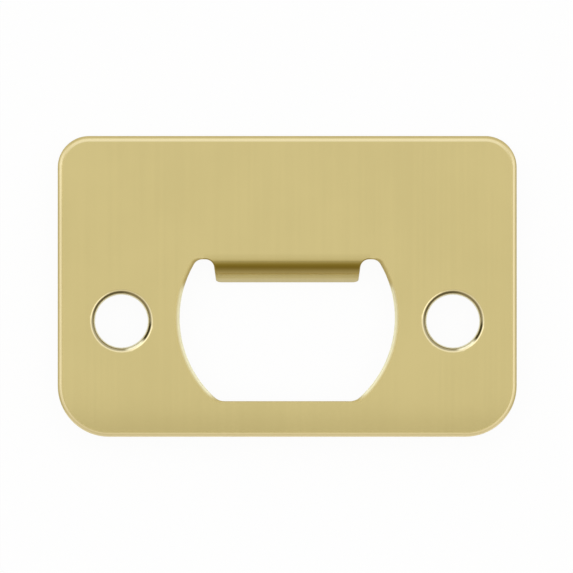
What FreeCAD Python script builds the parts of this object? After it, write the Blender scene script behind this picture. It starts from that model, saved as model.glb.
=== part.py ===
"""Full-lip door strike plate, stamped and bent from one sheet of brass, in millimetres.

The origin lies midway between the two screw holes, on the back face. +X runs along the
plate's long side, +Y points to the lip and +Z out of the front face.
"""

import FreeCAD, Part
import math
import os

# Sheet
thickness = 1.6
outline_rounding = 0.6
back_corner_radius = 6.35
lip_corner_radius = 3.9

# Screw holes, and the metal from their centres to the plate's ends
screw_spacing = 41.275
screw_to_end = 7.9375
screw_hole_radius = 3.3
screw_hole_rounding = 0.75

# Opening for the latch bolt: a round hole cut off by a flat at its back and at its lip side.
# Metal is left between it and the screw holes, the back edge and the lip.
screw_hole_to_opening = 3.9375
opening_centre_y = 0.4
opening_back_cut = 3.03
opening_lip_cut = 6.11
opening_back_corner_radius = 1.8
opening_lip_corner_radius = 1.2
opening_arc_rounding = 0.5
opening_flat_rounding = 0.15
opening_to_back_edge = 4.43
opening_to_lip = 5.31

# Lip, which curves back so that the latch bolt rides up over it
lip_width = 10.05
lip_bend_radius = 27.0

# Tang, bent back into the opening from its lip side, with a relief notch on each side of it.
# The notch is flat at its top between its corner and the tang's flared root.
notch_flat = 0.23
tang_side_taper = 8.0
tang_lead_overlap = 0.036
tang_root_radius = 1.1
tang_lead_radius = 8.0
tang_lead_angle = 6.0
tang_bend_radius = 3.0
tang_bend_angle = 64.0
tang_leg_length = 1.05
tang_corner_radius = 0.75

# A face counts as the front where the upward part of its normal is more than this
front_normal_z = 0.1

# Worked out from the sizes above
length = screw_spacing + 2 * screw_to_end
opening_radius = screw_spacing / 2 - screw_hole_radius - screw_hole_to_opening
opening_back_flat = opening_radius - opening_back_cut - opening_centre_y
opening_lip_flat = opening_radius - opening_lip_cut + opening_centre_y
back_reach = opening_back_flat + opening_to_back_edge
flat_reach = opening_lip_flat + opening_to_lip
lip_reach = flat_reach + lip_width
lip_corner_y = opening_radius - opening_lip_cut - opening_lip_corner_radius
lip_corner_x = math.sqrt((opening_radius - opening_lip_corner_radius) ** 2 - lip_corner_y**2)
tang_slot_half_width = lip_corner_x - notch_flat
tang_width = 2 * (tang_slot_half_width - tang_root_radius)


def point(x, y, z=0.0):
    return FreeCAD.Vector(x, y, z)


def line(start, end):
    return Part.LineSegment(start, end).toShape()


def arc(start, middle, end):
    return Part.Arc(start, middle, end).toShape()


def rounded_wire(corners):
    """Return a closed wire at z = 0 through (x, y, radius) corners, each rounded off."""
    edges = []
    starts = []
    ends = []
    for number, (x, y, radius) in enumerate(corners):
        corner = point(x, y)
        before = point(*corners[number - 1][:2]) - corner
        after = point(*corners[(number + 1) % len(corners)][:2]) - corner
        before.normalize()
        after.normalize()
        half_angle = before.getAngle(after) / 2
        starts.append(corner + before * (radius / math.tan(half_angle)))
        ends.append(corner + after * (radius / math.tan(half_angle)))
        if radius:
            inward = before + after
            inward.normalize()
            middle = corner + inward * (radius / math.sin(half_angle) - radius)
            edges.append(arc(starts[-1], middle, ends[-1]))
        if number:
            edges.append(line(ends[number - 1], starts[number]))
    edges.append(line(ends[-1], starts[0]))
    return Part.Wire(Part.__sortEdges__(edges))


def through(wire):
    """Extrude a wire drawn at z = 0 past both sides of the bent sheet."""
    low = wire.translated(point(0, 0, -lip_bend_radius))
    return Part.Face(low).extrude(point(0, 0, 2 * lip_bend_radius))


def around(centre, radius, degrees):
    """Return the point at a radius from centre, turned from +Z towards +Y."""
    turn = math.radians(degrees)
    return centre + point(0, math.sin(turn), math.cos(turn)) * radius


def bent_strip(start_y, bends, leg):
    """Bend the sheet down from the flat at start_y, and let a straight leg follow.

    bends lists each arc's front radius and its degrees, which are positive towards +Y.
    Returns the strip and the middle of its end.
    """
    front = point(0, start_y, thickness)
    turned = 0
    edges = [line(front, point(0, start_y))]
    for front_radius, degrees in bends:
        centre = front - around(point(0, 0), front_radius, turned)
        for radius in (front_radius, front_radius - thickness):
            arc_ends = [around(centre, radius, turned + degrees * share) for share in (0, 0.5, 1)]
            edges.append(arc(*arc_ends))
        turned += degrees
        front = around(centre, front_radius, turned)
    back = front - around(point(0, 0), thickness, turned)
    onward = around(point(0, 0), leg, turned + math.copysign(90, turned))
    if leg:
        edges += [line(front, front + onward), line(back, back + onward)]
    edges.append(line(front + onward, back + onward))
    side_view = Part.Wire(Part.__sortEdges__(edges)).translated(point(-length, 0))
    strip = Part.Face(side_view).extrude(point(2 * length, 0))
    return strip, (front + back) * 0.5 + onward


def looks_up(face, spot):
    return face.normalAt(*face.Surface.parameter(spot)).z > front_normal_z


def front_edges(shape):
    """Find the edges between a face that looks to the front and one that doesn't."""
    found = []
    for edge in shape.Edges:
        middle = edge.valueAt((edge.FirstParameter + edge.LastParameter) / 2)
        sides = [looks_up(face, middle) for face in shape.ancestorsOfType(edge, Part.Face)]
        if True in sides and False in sides:
            found.append(edge)
    return found


def blank():
    """The flat sheet with its curved lip, cut to the outline and rounded over at the front."""
    flat = Part.makeBox(
        2 * length, 2 * back_reach + flat_reach, thickness, point(-length, -2 * back_reach, 0)
    )
    lip, _ = bent_strip(flat_reach, [(lip_bend_radius, 90)], 0)
    half = length / 2
    outline = rounded_wire(
        [
            (-half, -back_reach, back_corner_radius),
            (half, -back_reach, back_corner_radius),
            (half, lip_reach, lip_corner_radius),
            (-half, lip_reach, lip_corner_radius),
        ]
    )
    sheet = flat.fuse(lip).removeSplitter().common(through(outline))
    return sheet.makeFillet(outline_rounding, front_edges(sheet))


def opening():
    """The latch bolt's opening, as the solid that is cut away."""
    disc = Part.Wire(Part.makeCircle(opening_radius, point(0, opening_centre_y)))
    band = rounded_wire(
        [
            (-length, -opening_back_flat, 0),
            (length, -opening_back_flat, 0),
            (length, opening_lip_flat, 0),
            (-length, opening_lip_flat, 0),
        ]
    )
    cutter = through(disc).common(through(band))
    for flat_y, radius in (
        (-opening_back_flat, opening_back_corner_radius),
        (opening_lip_flat, opening_lip_corner_radius),
    ):
        corners = [
            edge
            for edge in cutter.Edges
            if abs(edge.CenterOfMass.z) < thickness
            and abs(edge.CenterOfMass.y - flat_y) < thickness / 10
        ]
        cutter = cutter.makeFillet(radius, corners)
    return cutter


def opening_rounding(spot):
    """Return how far the front edge is rounded there: fully on an arc, slightly on a flat."""
    from_centre = math.hypot(spot.x, spot.y - opening_centre_y)
    on_arc = abs(from_centre - opening_radius) < thickness / 100
    return opening_arc_rounding if on_arc else opening_flat_rounding


def cut_opening(plate):
    """Cut the opening and round over its front edge, which changes round its corners."""
    plate = plate.cut(opening())
    rim = front_edges(plate)
    document = FreeCAD.newDocument()
    unrounded = document.addObject("Part::Feature", "unrounded")
    unrounded.Shape = plate
    rounded = document.addObject("Part::Fillet", "rounded")
    rounded.Base = unrounded
    rounded.Edges = [
        (number, *[opening_rounding(end.Point) for end in edge.Vertexes])
        for number, edge in enumerate(plate.Edges, 1)
        if any(edge.isSame(rim_edge) for rim_edge in rim)
    ]
    document.recompute()
    return rounded.Shape


def cut_screw_hole(plate, side):
    """Cut a screw hole and round over its front edge."""
    centre = point(side * screw_spacing / 2, 0)
    plate = plate.cut(through(Part.Wire(Part.makeCircle(screw_hole_radius, centre))))
    return plate.makeFillet(screw_hole_rounding, front_edges(plate))


def tang_root_y():
    """Where the bend starts: its gentle lead-in ends a little past the opening's flat."""
    lead_in_reach = tang_lead_radius * math.sin(math.radians(tang_lead_angle))
    return opening_lip_flat + lead_in_reach - tang_lead_overlap


def tang_outline(reach, root_radius):
    """The tang seen from the front, from its root to a reach beyond the opening's flat."""
    half = tang_width / 2
    far_half = half - reach * math.tan(math.radians(tang_side_taper))
    return rounded_wire(
        [
            (tang_slot_half_width, tang_root_y(), 0),
            (tang_slot_half_width, opening_lip_flat, 0),
            (half, opening_lip_flat, root_radius),
            (far_half, opening_lip_flat - reach, 0),
            (-far_half, opening_lip_flat - reach, 0),
            (-half, opening_lip_flat, root_radius),
            (-tang_slot_half_width, opening_lip_flat, 0),
            (-tang_slot_half_width, tang_root_y(), 0),
        ]
    )


def tang():
    """The tang from its bend line to its tip, with flared roots and rounded tip corners."""
    bends = [(tang_lead_radius, -tang_lead_angle), (tang_bend_radius, -tang_bend_angle)]
    bend_only, _ = bent_strip(tang_root_y(), bends, 0)
    strip, end = bent_strip(tang_root_y(), bends, tang_leg_length)
    drawn_reach = tang_lead_radius + tang_bend_radius + tang_leg_length
    blade = strip.common(through(tang_outline(drawn_reach, 0)))
    corners = [
        edge
        for edge in blade.Edges
        if math.hypot(edge.CenterOfMass.y - end.y, edge.CenterOfMass.z - end.z) < thickness / 10
    ]
    blade = blade.makeFillet(tang_corner_radius, corners)
    flared_root = bend_only.common(through(tang_outline(2 * tang_root_radius, tang_root_radius)))
    bent = blade.fuse(flared_root).removeSplitter()
    free_edges = [
        edge
        for edge in front_edges(bent)
        if edge.CenterOfMass.y < opening_lip_flat + tang_lead_overlap
    ]
    return bent.makeFillet(opening_flat_rounding, free_edges)


def tang_slot():
    """The piece of the plate that the tang's root takes the place of."""
    half = tang_slot_half_width
    return through(
        rounded_wire(
            [
                (-half, opening_centre_y, 0),
                (half, opening_centre_y, 0),
                (half, tang_root_y(), 0),
                (-half, tang_root_y(), 0),
            ]
        )
    )


def strike_plate():
    plate = cut_opening(blank())
    for side in (-1, 1):
        plate = cut_screw_hole(plate, side)
    return plate.cut(tang_slot()).fuse(tang()).removeSplitter()


plate = strike_plate()
os.makedirs("parts", exist_ok=True)
plate.Solids[0].exportStep("parts/strike_plate.step")
box = plate.optimalBoundingBox(False, False)
print("valid", plate.isValid(), "solids", len(plate.Solids), "volume", round(plate.Volume, 1), "mm3")
print("centre of mass", [round(value, 2) for value in plate.Solids[0].CenterOfMass])
print("lowest", [round(value, 2) for value in (box.XMin, box.YMin, box.ZMin)])
print("highest", [round(value, 2) for value in (box.XMax, box.YMax, box.ZMax)])
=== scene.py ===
"""A brass door strike plate, dressed and lit for a straight-on view of its front."""

import math

import bpy
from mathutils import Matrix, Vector


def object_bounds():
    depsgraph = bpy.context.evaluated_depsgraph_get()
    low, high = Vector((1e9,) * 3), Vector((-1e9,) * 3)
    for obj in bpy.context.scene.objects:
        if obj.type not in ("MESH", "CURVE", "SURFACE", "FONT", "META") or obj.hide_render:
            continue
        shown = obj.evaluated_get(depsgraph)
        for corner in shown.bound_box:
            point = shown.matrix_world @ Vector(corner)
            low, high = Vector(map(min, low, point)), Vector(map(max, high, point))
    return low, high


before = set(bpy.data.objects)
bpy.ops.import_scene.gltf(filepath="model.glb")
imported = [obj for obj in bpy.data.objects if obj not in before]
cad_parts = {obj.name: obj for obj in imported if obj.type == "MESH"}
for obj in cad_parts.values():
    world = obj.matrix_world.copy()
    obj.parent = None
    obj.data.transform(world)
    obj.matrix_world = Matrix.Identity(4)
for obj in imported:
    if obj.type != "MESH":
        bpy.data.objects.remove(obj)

cad_low, cad_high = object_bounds()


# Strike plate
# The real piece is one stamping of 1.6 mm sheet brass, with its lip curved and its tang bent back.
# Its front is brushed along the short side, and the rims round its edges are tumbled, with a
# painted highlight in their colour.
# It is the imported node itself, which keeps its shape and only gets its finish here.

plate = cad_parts["strike_plate"]

lip_bend_start_y = 0.013
lip_front_radius = 0.027
lip_back_radius = 0.0254
lip_corner_x = 0.024675
lip_corner_y = 0.01915
lip_corner_radius = 0.0039
opening_centre_y = 0.0004
opening_rim_reach = 0.0143
opening_back_y = -0.0108
screw_hole_x = 0.0206375
screw_rim_reach = 0.0043
tang_half_width = 0.0106
tang_low_y = 0.0035
tang_high_y = 0.0085

brass_colour = (0.609, 0.508, 0.224, 1.0)
warm_brass_colour = (0.633, 0.528, 0.235, 1.0)
# painted highlight on the outline's rim
rim_highlight_colour = (0.90, 0.79, 0.48, 1.0)
# painted highlight on the opening's arcs and below the screw holes' dark rings
pale_highlight_colour = (1.0, 0.97, 0.71, 1.0)
# painted shade down the screw holes' throats
throat_shade_colour = (0.05, 0.04, 0.012, 1.0)
# painted shade on the tang's bend
bend_shade_colour = (0.262, 0.180, 0.011, 1.0)
mill_colour = (0.53, 0.43, 0.19, 1.0)
torn_brass_colour = (0.66, 0.55, 0.29, 1.0)

satin_roughness = 0.14
rim_added_roughness = 0.40
coined_smoothing = 0.32
torn_added_roughness = 0.30
mill_added_roughness = 0.16


class Socket:
    """A shader socket that sums can be written with: each operator adds a Math node."""

    def __init__(self, tree, output=None):
        self.tree = tree
        self.output = output

    def node(self, kind, settings, values, output=0):
        """Add a node, set it up, give its sockets values or links, and return one output."""
        made = self.tree.nodes.new(kind)
        for name, value in settings.items():
            setattr(made, name, value)
        for name, value in values.items():
            if isinstance(value, Socket):
                self.tree.links.new(value.output, made.inputs[name])
            else:
                made.inputs[name].default_value = value
        return Socket(self.tree, made.outputs[output] if made.outputs else None)

    def math(self, operation, *others):
        values = dict(enumerate((self, *others)))
        return self.node("ShaderNodeMath", {"operation": operation}, values)

    def __add__(self, other):
        return self.math("ADD", other)

    __radd__ = __add__

    def __sub__(self, other):
        return self.math("SUBTRACT", other)

    def __rsub__(self, other):
        return self.node("ShaderNodeMath", {"operation": "SUBTRACT"}, {0: other, 1: self})

    def __mul__(self, other):
        return self.math("MULTIPLY", other)

    __rmul__ = __mul__

    def rises(self, low, high):
        """Return 0 below low, 1 above high, and a smooth step from one to the other."""
        values = {"Value": self, "From Min": low, "From Max": high}
        return self.node("ShaderNodeMapRange", {"interpolation_type": "SMOOTHSTEP"}, values)

    def falls(self, low, high):
        """Return 1 below low, 0 above high, and a smooth step from one to the other."""
        return 1 - self.rises(low, high)

    def parts(self):
        """Return the X, Y and Z of a vector."""
        whole = self.node("ShaderNodeSeparateXYZ", {}, {0: self})
        return [Socket(self.tree, output) for output in whole.output.node.outputs]

    def mix(self, first, second):
        """Mix two colours, with this socket as the share of the second."""
        values = {"Factor": self, "A": first, "B": second}
        return self.node("ShaderNodeMix", {"data_type": "RGBA"}, values, "Result")

    def noise(self, widths, detail=3.0):
        """Return noise whose patches are about so wide along X, Y and Z."""
        scale = [1 / width for width in widths]
        spread = self.node("ShaderNodeMapping", {}, {"Vector": self, "Scale": scale})
        values = {"Vector": spread, "Scale": 1.0, "Detail": detail, "Roughness": 0.6}
        return self.node("ShaderNodeTexNoise", {}, values)


def new_material(name):
    """Return a material and its empty node tree."""
    material = bpy.data.materials.new(name)
    material.use_nodes = True
    material.node_tree.nodes.clear()
    return material, Socket(material.node_tree)


satin_brass, shader = new_material("satin_brass")
place = shader.node("ShaderNodeTexCoord", {}, {}, "Object")
x, y, z = place.parts()
normal_x, normal_y, normal_z = shader.node("ShaderNodeNewGeometry", {}, {}, "Normal").parts()
from_middle_x = x.math("ABSOLUTE")

# How far a spot's face leans away from the front's own slope, which follows the lip's curve.
# Each pair of numbers, here and below, gives where a mask starts to change and where it ends.
fade_width = 0.0002
rim_leans = (0.001, 0.009)
facing_up = (-0.2, 0.1)
lean = ((y - lip_bend_start_y) * (1 / lip_front_radius)).math("MAXIMUM", 0.0)
level = (1 - lean * lean).math("SQRT")
off_front = 1 - (normal_y * lean + normal_z * level)
on_tang = (
    (tang_half_width - from_middle_x).rises(0.0, fade_width)
    * (y - tang_low_y).rises(0.0, fade_width)
    * (tang_high_y - y).rises(0.0, fade_width)
)
rim = off_front.rises(*rim_leans) * (1 - on_tang) * normal_z.rises(*facing_up)

# The outline's rim has a painted highlight where it starts, and from a little before the lip's end
# on the painted highlight is one band that runs along the edge at an even distance
bright_leans = (0.003, 0.045)
steep_leans = (0.16, 0.40)
not_facing_back = (-0.6, -0.3)
highlight_band_edge = (0.00022, 0.00042)
highlight_band_depth = 0.00078
highlight_band_share = 0.75
lip_end_y = (0.0195, 0.0225)
past_corner_x = (from_middle_x - lip_corner_x).math("MAXIMUM", 0.0)
past_corner_y = (y - lip_corner_y).math("MAXIMUM", 0.0)
from_corner = (past_corner_x * past_corner_x + past_corner_y * past_corner_y).math("SQRT")
to_edge = lip_corner_radius - from_corner
painted_highlight_band = to_edge.rises(*highlight_band_edge) * (highlight_band_depth - to_edge).rises(0.0, fade_width) * highlight_band_share
steep = off_front.rises(*steep_leans) * normal_y.rises(*not_facing_back)
by_lip_end = y.rises(*lip_end_y)
started = rim * off_front.rises(*bright_leans) * (1 - steep)
outline_rim = started * (1 - by_lip_end) + painted_highlight_band * by_lip_end

# The opening's rim gets a pale painted highlight down its arcs and is plain along its flats
pale_leans = (-0.08, 0.25)
arc_back_y = (-0.0100, -0.0088)
arc_lip_y = (0.0036, 0.0050)
from_opening_y = y - opening_centre_y
from_opening = (x * x + from_opening_y * from_opening_y).math("SQRT")
by_opening = (
    (opening_rim_reach - from_opening).rises(0.0, fade_width)
    * (y - opening_back_y).rises(0.0, fade_width)
)
on_arcs = y.rises(*arc_back_y) * y.falls(*arc_lip_y)
arc_highlight = rim * by_opening * on_arcs * off_front.rises(*pale_leans)
painted_rim_highlight = outline_rim * (1 - by_opening)

# The screw holes' rims are coined, so they are smoother, and painted shade makes them dark down
# their throats.
# The painted dark ring is deepest on its lip side and at its right, and a painted glint breaks it
# below that.
ring_top_leans = (0.04, 0.13)
ring_foot_leans = (0.27, 0.46)
below_ring_leans = (0.35, 0.60)
glint_leans = (0.04, 0.20)
ring_share = 0.58
lip_side_degrees = 122
lip_side_spread = (0.55, 0.90)
lip_side_added = 0.25
right_degrees = 337
right_spread = (0.90, 0.98)
right_added = 0.42
glint_degrees = 300
glint_spread = (0.90, 0.99)
glint_share = 0.60
from_screw_x = (from_middle_x - screw_hole_x) * x.math("SIGN")
from_screw = (from_screw_x * from_screw_x + y * y).math("SQRT")


def in_line(degrees):
    """Return 1 where a spot lies just in that direction from its screw hole, and less elsewhere."""
    turn = math.radians(degrees)
    along = from_screw_x * math.cos(turn) + y * math.sin(turn)
    return along.math("DIVIDE", from_screw)


coined = rim * (screw_rim_reach - from_screw).rises(0.0, fade_width)
lip_side = in_line(lip_side_degrees).rises(*lip_side_spread)
right_side = in_line(right_degrees).rises(*right_spread)
painted_glint = in_line(glint_degrees).rises(*glint_spread)
ring = lip_side * lip_side_added + right_side * right_added + ring_share - painted_glint * glint_share
painted_throat_shade = coined * off_front.rises(*ring_top_leans) * off_front.falls(*ring_foot_leans) * ring
below_ring_highlight = off_front.rises(*below_ring_leans) + painted_glint * off_front.rises(*glint_leans)
painted_pale_highlight = arc_highlight + coined * below_ring_highlight

# The tang's bend has painted shade where it has turned down by about 0.15 to 0.6 radians, and a
# little painted shade again above its straight leg
upper_bend_start = (-0.025, 0.34)
upper_bend_end = (0.42, 0.74)
upper_bend_share = 0.9
lower_bend_start = (0.78, 0.88)
lower_bend_end = (0.98, 1.12)
lower_bend_share = 0.25
turned_down = normal_z.math("ARCCOSINE")
upper_bend = turned_down.rises(*upper_bend_start) * turned_down.falls(*upper_bend_end)
lower_bend = turned_down.rises(*lower_bend_start) * turned_down.falls(*lower_bend_end)
painted_bend_shade = on_tang * (upper_bend * upper_bend_share + lower_bend * lower_bend_share)

# The sheared edges are burnished by the punch near the front and torn below that
burnished_depth = 0.0006
tear_width = 0.0009
tear_height = 0.01
tear_raggedness = 0.0006
tear_fade_width = 0.00012
wall_slopes = (0.15, 0.30)
back_slopes = (-0.45, -0.20)
wall = normal_z.math("ABSOLUTE").falls(*wall_slopes)
reach = (y - lip_bend_start_y).math("MAXIMUM", 0.0)
back_drop = lip_back_radius - (lip_back_radius**2 - reach * reach).math("SQRT")
ragged = (place.noise((tear_width, tear_width, tear_height)) - 0.5) * tear_raggedness
torn_top = cad_high.z - burnished_depth + ragged - back_drop
torn = wall * (torn_top - z).rises(0.0, tear_fade_width)
back = normal_z.falls(*back_slopes)

# The brushed grain runs along Y, and the punch's drag lines run down the walls
grain_width = 0.00012
grain_length = 0.020
streak_width = 0.0007
streak_length = 0.05
cloud_size = 0.012
drag_line_width = 0.00009
drag_line_length = 0.004
pit_size = 0.00015
grain = place.noise((grain_width, grain_length, grain_length), 4.0)
streaks = place.noise((streak_width, streak_length, streak_length))
clouds = place.noise((cloud_size, cloud_size, cloud_size))
drag_lines = place.noise((drag_line_width, drag_line_width, drag_line_length))
pits = place.noise((pit_size, pit_size, pit_size), 5.0)

streak_share = 0.4
tone_range = (0.35, 0.65)
tone = (streaks * streak_share + clouds * (1 - streak_share)).rises(*tone_range)
# painted shade on the tang's bend
face_colour = painted_bend_shade.mix(tone.mix(brass_colour, warm_brass_colour), bend_shade_colour)
# painted highlight on the outline's rim
colour = painted_rim_highlight.mix(face_colour, rim_highlight_colour)
# painted pale highlights and painted shade down the screw holes
colour = painted_throat_shade.mix(painted_pale_highlight.mix(colour, pale_highlight_colour), throat_shade_colour)
colour = back.mix(torn.mix(colour, torn_brass_colour), mill_colour)

relief_depth = 0.00002
grain_relief = 0.3
drag_line_relief = 0.35
pit_relief = 1.6
relief = (
    grain * (1 - rim) * (1 - wall) * grain_relief
    + drag_lines * wall * (1 - torn) * drag_line_relief
    + pits * torn * pit_relief
)
bump_values = {"Strength": 1.0, "Distance": relief_depth, "Height": relief}
brass_values = {
    "Base Color": colour,
    "Metallic": 1.0,
    "Roughness": satin_roughness
    + rim * rim_added_roughness
    - coined * coined_smoothing
    + torn * torn_added_roughness
    + back * mill_added_roughness,
    "Normal": shader.node("ShaderNodeBump", {}, bump_values),
}
brass = shader.node("ShaderNodeBsdfPrincipled", {}, brass_values)
shader.node("ShaderNodeOutputMaterial", {}, {"Surface": brass})
plate.material_slots[0].material = satin_brass


# Paper
# The plate lies on a sheet of white paper, which is large enough to fill every view.
# The camera and the brass see it white, and it keeps the plate's soft shadow.

paper_size = 1.6
paper_colour = (0.9, 0.9, 0.9, 1.0)
white_colour = (1.0, 1.0, 1.0, 1.0)
seen_whiteness = 0.95
mirrored_whiteness = 0.35

for thing in bpy.context.selected_objects:
    thing.select_set(False)
bpy.ops.mesh.primitive_plane_add(size=paper_size, location=(0, 0, cad_low.z))
paper = bpy.context.object
paper.name = "paper"
white_paper, shader = new_material("white_paper")
seen = shader.node("ShaderNodeLightPath", {}, {}, "Is Camera Ray")
mirrored = shader.node("ShaderNodeLightPath", {}, {}, "Is Glossy Ray")
lit = shader.node("ShaderNodeBsdfDiffuse", {}, {"Color": paper_colour})
white = shader.node("ShaderNodeEmission", {}, {"Color": white_colour, "Strength": 1.0})
whiteness = seen * seen_whiteness + mirrored * mirrored_whiteness
sheet = shader.node("ShaderNodeMixShader", {}, {0: whiteness, 1: lit, 2: white})
shader.node("ShaderNodeOutputMaterial", {}, {"Surface": sheet})
paper.data.materials.append(white_paper)


# Amber gel
# A long strip of amber gel hangs high over the plate's back edge, hidden from the camera.
# It shades the face below it softly, and thins out at its ends and towards its back side.

gel_length = 0.09
gel_width = 0.0075
gel_middle = (0, -0.01575, 0.06)
gel_density = 0.25
gel_end_fade = 0.06
gel_side_fade = 0.4
amber_colour = (0.22, 0.18, 0.02, 1.0)

bpy.ops.mesh.primitive_plane_add(size=1, location=gel_middle)
gel = bpy.context.object
gel.name = "amber_gel"
gel.scale = (gel_length, gel_width, 1)
gel.visible_camera = False
gel.visible_shadow = False
amber_gel, shader = new_material("amber_gel")
across, along, _ = shader.node("ShaderNodeTexCoord", {}, {}, "Object").parts()
to_end = 0.5 - across.math("ABSOLUTE")
to_back_side = along + 0.5
density = to_end.rises(0.0, gel_end_fade) * to_back_side.rises(0.0, gel_side_fade) * gel_density
tint = density.mix(white_colour, amber_colour)
film = shader.node("ShaderNodeBsdfTransparent", {}, {"Color": tint})
shader.node("ShaderNodeOutputMaterial", {}, {"Surface": film})
gel.data.materials.append(amber_gel)


# Room and lamps
# A white room that is darker and warmer low down, most of all beyond the plate's back edge,
# and weak soft boxes at two opposite corners and beyond the lip.

horizon_colour = (0.55, 0.50, 0.38, 1.0)
lip_side_whiteness = 1.2
dark_height = -0.35
white_height = 0.85

room = bpy.data.worlds.new("white_room")
room.use_nodes = True
room.node_tree.nodes.clear()
shader = Socket(room.node_tree)
_, towards_lip, up = shader.node("ShaderNodeTexCoord", {}, {}, "Generated").parts()
seen = shader.node("ShaderNodeLightPath", {}, {}, "Is Camera Ray")
ceiling = shader.node("ShaderNodeBackground", {}, {"Color": white_colour, "Strength": 1.0})
horizon = shader.node("ShaderNodeBackground", {}, {"Color": horizon_colour, "Strength": 1.0})
height = up + towards_lip * lip_side_whiteness
whiteness = height.rises(dark_height, white_height).math("MAXIMUM", seen)
air = shader.node("ShaderNodeMixShader", {}, {0: whiteness, 1: horizon, 2: ceiling})
shader.node("ShaderNodeOutputWorld", {}, {"Surface": air})
bpy.context.scene.world = room


def soft_box(name, turn_degrees, tilt_degrees, brightness):
    """Hang a soft box that looks at the plate, turned from +X and tilted from straight up."""
    size = 0.28
    distance = 0.5
    lamp = bpy.data.lights.new(name, "AREA")
    lamp.shape = "SQUARE"
    lamp.size = size
    lamp.energy = brightness * math.pi * size * size
    box = bpy.data.objects.new(name, lamp)
    bpy.context.scene.collection.objects.link(box)
    turn = math.radians(turn_degrees)
    tilt = math.radians(tilt_degrees)
    way = Vector(
        (math.cos(turn) * math.sin(tilt), math.sin(turn) * math.sin(tilt), math.cos(tilt))
    )
    box.location = way * distance
    box.rotation_mode = "QUATERNION"
    box.rotation_quaternion = way.to_track_quat("Z", "Y")


soft_box("lower_right_box", -35, 38, 0.5)
soft_box("upper_left_box", 145, 38, 0.4)
soft_box("lip_side_box", 90, 62, 0.12)


# Camera
# It looks straight down on the front, so far off that nothing in the picture draws together.

picture_width = 0.07135
picture_middle_x = -0.00009
picture_middle_y = 0.00431
camera_height = 0.3

lens = bpy.data.cameras.new("camera")
lens.type = "ORTHO"
lens.ortho_scale = picture_width
camera = bpy.data.objects.new("camera", lens)
bpy.context.scene.collection.objects.link(camera)
camera.location = (picture_middle_x, picture_middle_y, camera_height)
bpy.context.scene.camera = camera
bpy.context.scene.view_settings.view_transform = "Standard"
